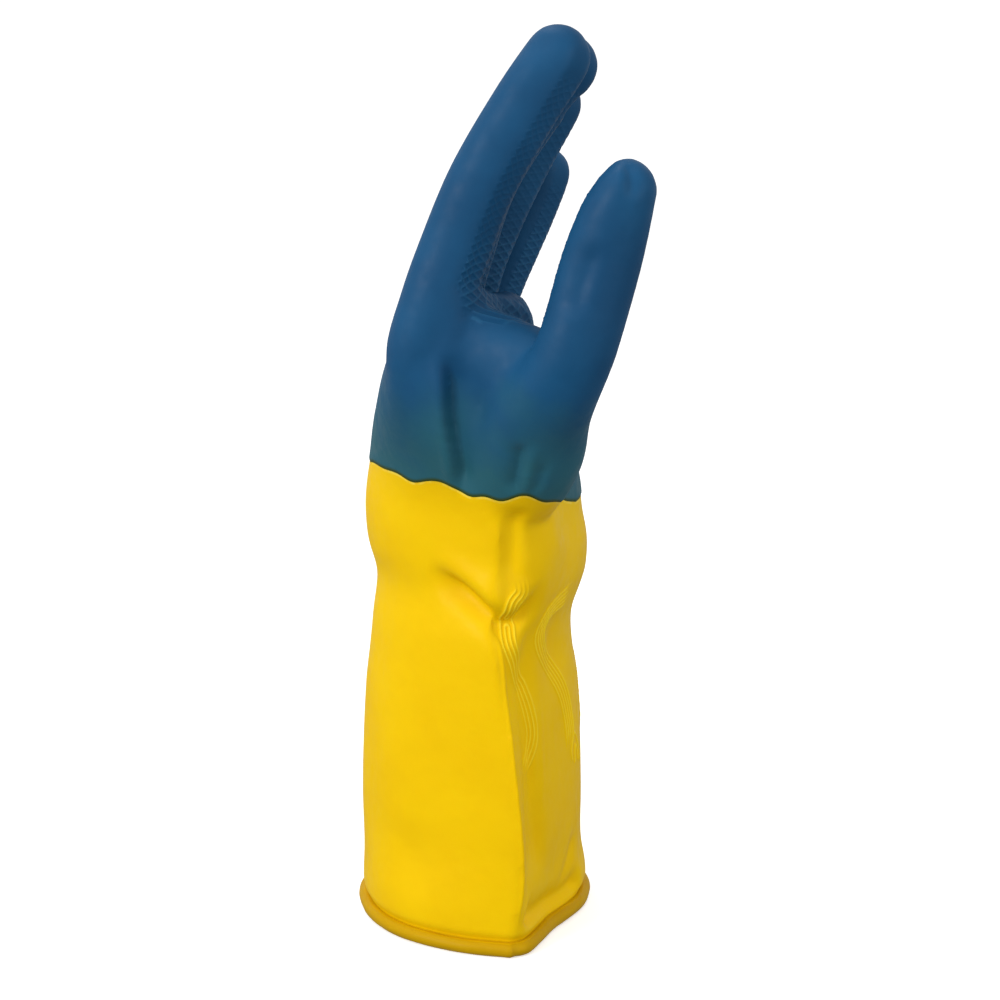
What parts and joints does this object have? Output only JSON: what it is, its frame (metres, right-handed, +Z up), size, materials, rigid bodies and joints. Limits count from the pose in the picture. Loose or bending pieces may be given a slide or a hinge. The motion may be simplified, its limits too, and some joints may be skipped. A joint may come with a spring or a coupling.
{
  "type": "rubber work glove",
  "caption": "Left-hand dipped rubber glove: long yellow latex gauntlet with a rolled cuff, blue neoprene overdip on the hand, and fingers and thumb that bend at flex lines.",
  "frame": {"origin": "on the floor under the middle of the glove's box, as it stands on its cuff", "axes": "+Z up the glove to the fingertips, +X out of the palm, -Y towards the thumb side"},
  "size_m": [0.1046, 0.1422, 0.3374],
  "materials": {
    "yellow_latex": "smooth satin dipped natural latex",
    "blue_neoprene": "smooth satin dipped neoprene with an embossed grip on the palm side",
    "cotton_flock": "short matt cotton flock"
  },
  "bodies": {
    "gauntlet": {"cuff_bead": "yellow_latex", "gauntlet_latex": "yellow_latex", "gauntlet_flock_lining": "cotton_flock"},
    "hand": {"hand_latex": "yellow_latex", "hand_overdip": "blue_neoprene", "hand_flock_lining": "cotton_flock", "wrist_flex": "yellow_latex"},
    "index_proximal": {"index_proximal_latex": "yellow_latex", "index_proximal_overdip": "blue_neoprene", "index_base_flex": "blue_neoprene"},
    "index_middle": {"index_middle_latex": "yellow_latex", "index_middle_overdip": "blue_neoprene", "index_middle_flex": "blue_neoprene"},
    "index_distal": {"index_distal_latex": "yellow_latex", "index_distal_overdip": "blue_neoprene", "index_tip_flex": "blue_neoprene"},
    "middle_proximal": {"middle_proximal_latex": "yellow_latex", "middle_proximal_overdip": "blue_neoprene", "middle_base_flex": "blue_neoprene"},
    "middle_middle": {"middle_middle_latex": "yellow_latex", "middle_middle_overdip": "blue_neoprene", "middle_middle_flex": "blue_neoprene"},
    "middle_distal": {"middle_distal_latex": "yellow_latex", "middle_distal_overdip": "blue_neoprene", "middle_tip_flex": "blue_neoprene"},
    "ring_proximal": {"ring_proximal_latex": "yellow_latex", "ring_proximal_overdip": "blue_neoprene", "ring_base_flex": "blue_neoprene"},
    "ring_middle": {"ring_middle_latex": "yellow_latex", "ring_middle_overdip": "blue_neoprene", "ring_middle_flex": "blue_neoprene"},
    "ring_distal": {"ring_distal_latex": "yellow_latex", "ring_distal_overdip": "blue_neoprene", "ring_tip_flex": "blue_neoprene"},
    "little_proximal": {"little_proximal_latex": "yellow_latex", "little_proximal_overdip": "blue_neoprene", "little_base_flex": "blue_neoprene"},
    "little_middle": {"little_middle_latex": "yellow_latex", "little_middle_overdip": "blue_neoprene", "little_middle_flex": "blue_neoprene"},
    "little_distal": {"little_distal_latex": "yellow_latex", "little_distal_overdip": "blue_neoprene", "little_tip_flex": "blue_neoprene"},
    "thumb_proximal": {"thumb_proximal_latex": "yellow_latex", "thumb_proximal_overdip": "blue_neoprene", "thumb_base_flex": "blue_neoprene"},
    "thumb_distal": {"thumb_distal_latex": "yellow_latex", "thumb_distal_overdip": "blue_neoprene", "thumb_tip_flex": "blue_neoprene"}
  },
  "joints": [
    {"name": "wrist_bend", "type": "hinge", "parent": "gauntlet", "child": "hand", "pos_m": [-0.00846, 0.00549, 0.13], "axis": [0, 1, 0], "range_deg": [-30, 45], "stiffness_Nm_per_rad": 1.5, "deforming": ["wrist_flex"]},
    {"name": "index_base_bend", "type": "hinge", "parent": "hand", "child": "index_proximal", "pos_m": [-0.01516, -0.03051, 0.2595], "axis": [0, 1, 0], "range_deg": [-15, 45], "stiffness_Nm_per_rad": 0.12, "deforming": ["index_base_flex"]},
    {"name": "index_middle_bend", "type": "hinge", "parent": "index_proximal", "child": "index_middle", "pos_m": [-0.00496, -0.03051, 0.2845], "axis": [0, 1, 0], "range_deg": [0, 60], "stiffness_Nm_per_rad": 0.06, "deforming": ["index_middle_flex"]},
    {"name": "index_tip_bend", "type": "hinge", "parent": "index_middle", "child": "index_distal", "pos_m": [0.00914, -0.03051, 0.309], "axis": [0, 1, 0], "range_deg": [0, 30], "stiffness_Nm_per_rad": 0.03, "deforming": ["index_tip_flex"]},
    {"name": "middle_base_bend", "type": "hinge", "parent": "hand", "child": "middle_proximal", "pos_m": [-0.01296, -0.00651, 0.2605], "axis": [0, 1, 0], "range_deg": [-15, 45], "stiffness_Nm_per_rad": 0.12, "deforming": ["middle_base_flex"]},
    {"name": "middle_middle_bend", "type": "hinge", "parent": "middle_proximal", "child": "middle_middle", "pos_m": [-0.00396, -0.00651, 0.2846], "axis": [0, 1, 0], "range_deg": [0, 70], "stiffness_Nm_per_rad": 0.06, "deforming": ["middle_middle_flex"]},
    {"name": "middle_tip_bend", "type": "hinge", "parent": "middle_middle", "child": "middle_distal", "pos_m": [0.01124, -0.00651, 0.3081], "axis": [0, 1, 0], "range_deg": [0, 30], "stiffness_Nm_per_rad": 0.03, "deforming": ["middle_tip_flex"]},
    {"name": "ring_base_bend", "type": "hinge", "parent": "hand", "child": "ring_proximal", "pos_m": [-0.00876, 0.01749, 0.253], "axis": [0, 1, 0], "range_deg": [-15, 45], "stiffness_Nm_per_rad": 0.12, "deforming": ["ring_base_flex"]},
    {"name": "ring_middle_bend", "type": "hinge", "parent": "ring_proximal", "child": "ring_middle", "pos_m": [0.00064, 0.01749, 0.274], "axis": [0, 1, 0], "range_deg": [0, 70], "stiffness_Nm_per_rad": 0.06, "deforming": ["ring_middle_flex"]},
    {"name": "ring_tip_bend", "type": "hinge", "parent": "ring_middle", "child": "ring_distal", "pos_m": [0.01044, 0.01749, 0.2932], "axis": [0, 1, 0], "range_deg": [0, 30], "stiffness_Nm_per_rad": 0.03, "deforming": ["ring_tip_flex"]},
    {"name": "little_base_bend", "type": "hinge", "parent": "hand", "child": "little_proximal", "pos_m": [-0.00046, 0.03929, 0.242], "axis": [0, 1, 0], "range_deg": [-15, 45], "stiffness_Nm_per_rad": 0.12, "deforming": ["little_base_flex"]},
    {"name": "little_middle_bend", "type": "hinge", "parent": "little_proximal", "child": "little_middle", "pos_m": [0.00614, 0.03929, 0.257], "axis": [0, 1, 0], "range_deg": [0, 70], "stiffness_Nm_per_rad": 0.06, "deforming": ["little_middle_flex"]},
    {"name": "little_tip_bend", "type": "hinge", "parent": "little_middle", "child": "little_distal", "pos_m": [0.01254, 0.03929, 0.271], "axis": [0, 1, 0], "range_deg": [0, 30], "stiffness_Nm_per_rad": 0.03, "deforming": ["little_tip_flex"]},
    {"name": "thumb_base_bend", "type": "hinge", "parent": "hand", "child": "thumb_proximal", "pos_m": [0.02494, -0.05571, 0.225], "axis": [0.9453, 0.1929, -0.2629], "range_deg": [-40, 20], "stiffness_Nm_per_rad": 0.12, "deforming": ["thumb_base_flex"]},
    {"name": "thumb_tip_bend", "type": "hinge", "parent": "thumb_proximal", "child": "thumb_distal", "pos_m": [0.03544, -0.05811, 0.261], "axis": [0.9453, 0.1929, -0.2629], "range_deg": [-60, 15], "stiffness_Nm_per_rad": 0.03, "deforming": ["thumb_tip_flex"]}
  ]
}
